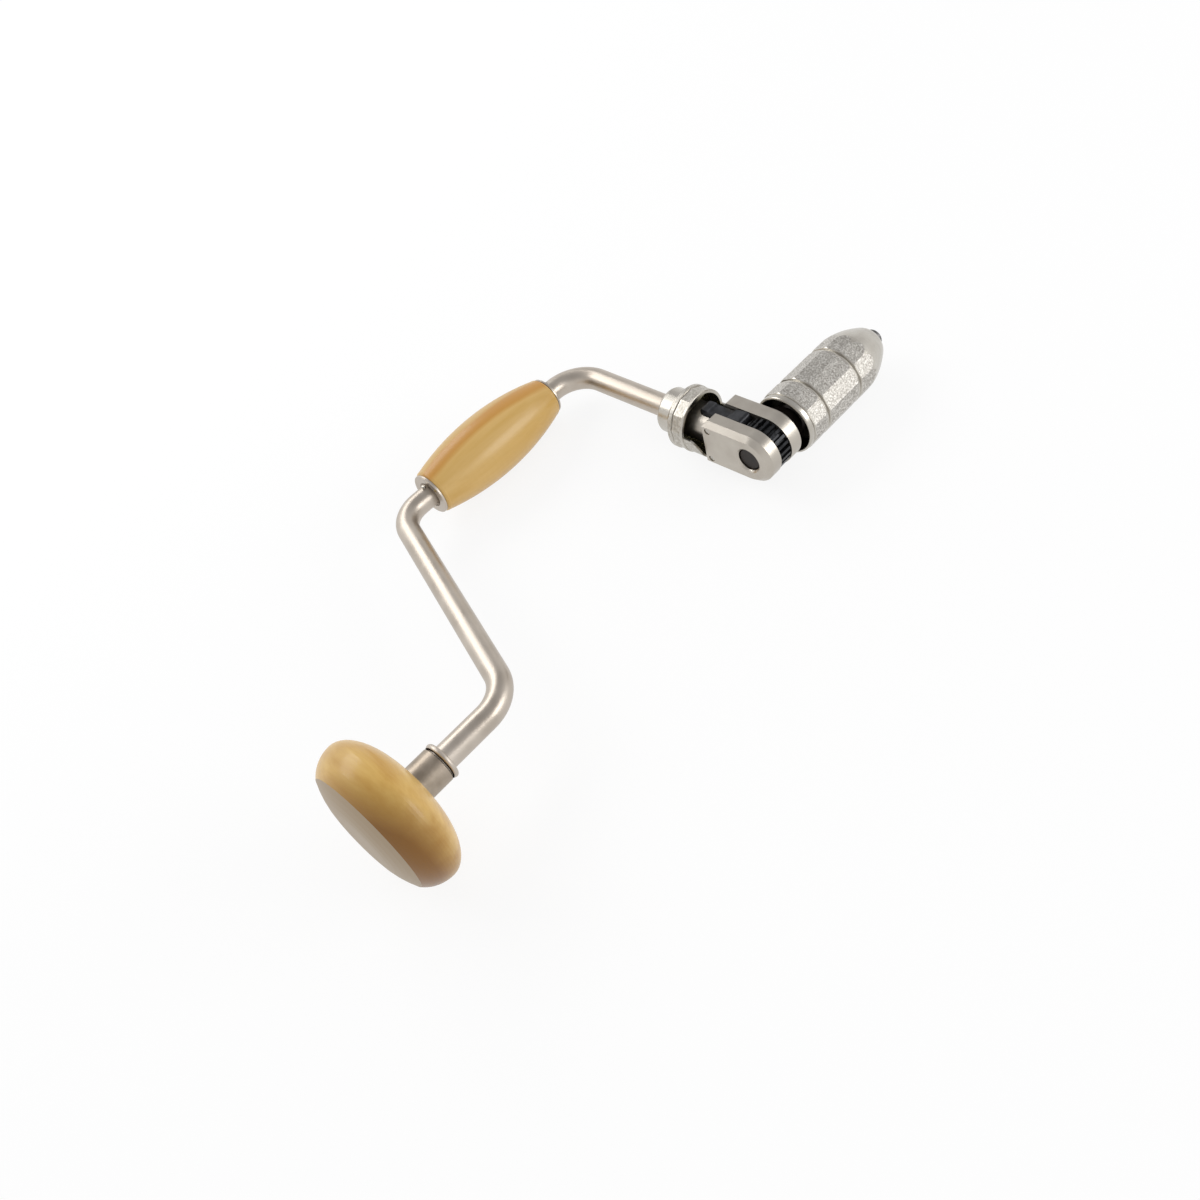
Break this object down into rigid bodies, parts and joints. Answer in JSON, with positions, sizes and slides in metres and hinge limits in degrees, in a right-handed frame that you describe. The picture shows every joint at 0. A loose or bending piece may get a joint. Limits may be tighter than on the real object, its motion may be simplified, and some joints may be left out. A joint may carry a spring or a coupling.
{
  "type": "ratchet bit brace",
  "caption": "Hand brace with turned wooden head and grip, bent steel crank, box ratchet with cam ring, and a faceted screw shell that closes its jaws.",
  "frame": {"origin": "centre of the flat in the middle of the head's face, on the bit axis", "axes": "+X along the bit axis from the head to the jaws, +Y from the bit axis towards the grip, +Z square to the crank's plane"},
  "size_m": [0.353, 0.1796, 0.0708],
  "materials": {
    "nickel": "satin nickel plate",
    "steel": "plated or bright steel",
    "black_oxide": "blackened steel, satin",
    "beech": "lacquered pale beech",
    "brass": "plain"
  },
  "bodies": {
    "crank_frame": {"crank": "steel", "head_collar": "nickel", "head_washer": "steel", "head_nut": "steel", "grip_stop_pins": "steel", "ratchet_box": "nickel", "box_pin": "steel", "pawl_pin_upper": "steel", "pawl_pin_lower": "steel", "pawl_spring": "steel", "ring_clip": "steel", "detent_ball": "steel", "detent_spring": "steel", "thrust_washer": "brass"},
    "head": {"head_knob": "beech", "head_quill": "nickel", "head_race": "steel", "head_balls": "steel"},
    "handle": {"grip": "beech", "grip_bush_lower": "nickel", "grip_bush_upper": "nickel", "grip_nails": "brass"},
    "spindle": {"chuck_spindle": "black_oxide", "ratchet_wheel": "black_oxide", "wheel_pin": "steel", "jaw_spring": "steel"},
    "selector": {"cam_ring": "nickel"},
    "upper_pawl": {"pawl_upper": "black_oxide"},
    "lower_pawl": {"pawl_lower": "black_oxide"},
    "closing_cone": {"jaw_cone": "steel"},
    "shell": {"chuck_shell": "nickel", "shell_balls": "steel"},
    "upper_jaw": {"jaw_upper": "black_oxide"},
    "lower_jaw": {"jaw_lower": "black_oxide"}
  },
  "joints": [
    {"name": "head_spin", "type": "hinge", "parent": "crank_frame", "child": "head", "pos_m": [0.03, 0, 0], "axis": [1, 0, 0], "continuous": true},
    {"name": "grip_spin", "type": "hinge", "parent": "crank_frame", "child": "handle", "pos_m": [0.191, 0.127, 0], "axis": [1, 0, 0], "continuous": true},
    {"name": "spindle_spin", "type": "hinge", "parent": "crank_frame", "child": "spindle", "pos_m": [0.2596, 0, 0], "axis": [1, 0, 0], "continuous": true},
    {"name": "selector_turn", "type": "hinge", "parent": "crank_frame", "child": "selector", "pos_m": [0.2596, 0.054, 0], "axis": [0, 1, 0], "range_deg": [-30, 30]},
    {"name": "upper_pawl_lift", "type": "hinge", "parent": "crank_frame", "child": "upper_pawl", "pos_m": [0.2596, 0.0234, 0.0086], "axis": [-1, 0, 0], "range_deg": [0, 11], "stiffness_Nm_per_rad": 0.02, "springref_deg": -17.19, "deforming": ["pawl_spring"]},
    {"name": "lower_pawl_lift", "type": "hinge", "parent": "crank_frame", "child": "lower_pawl", "pos_m": [0.2596, 0.0234, -0.0086], "axis": [1, 0, 0], "range_deg": [0, 11], "stiffness_Nm_per_rad": 0.02, "springref_deg": -17.19, "deforming": ["pawl_spring"]},
    {"name": "cone_slide", "type": "slide", "parent": "spindle", "child": "closing_cone", "axis": [1, 0, 0], "range_m": [0, 0.009]},
    {"name": "shell_turn", "type": "hinge", "parent": "closing_cone", "child": "shell", "pos_m": [0.3, 0, 0], "axis": [1, 0, 0], "range_deg": [0, 1080]},
    {"name": "upper_jaw_tilt", "type": "hinge", "parent": "spindle", "child": "upper_jaw", "pos_m": [0.3028, 0, 0.0032], "axis": [0, -1, 0], "range_deg": [0, 2.2], "deforming": ["jaw_spring"]},
    {"name": "lower_jaw_tilt", "type": "hinge", "parent": "spindle", "child": "lower_jaw", "pos_m": [0.3028, 0, -0.0032], "axis": [0, 1, 0], "range_deg": [0, 2.2], "deforming": ["jaw_spring"]}
  ],
  "couplings": [
    {"joint": "shell_turn", "follows": "cone_slide", "rad_per_m": 2094.4},
    {"joint": "upper_jaw_tilt", "follows": "cone_slide", "rad_per_m": 4.2663},
    {"joint": "lower_jaw_tilt", "follows": "cone_slide", "rad_per_m": 4.2663}
  ]
}
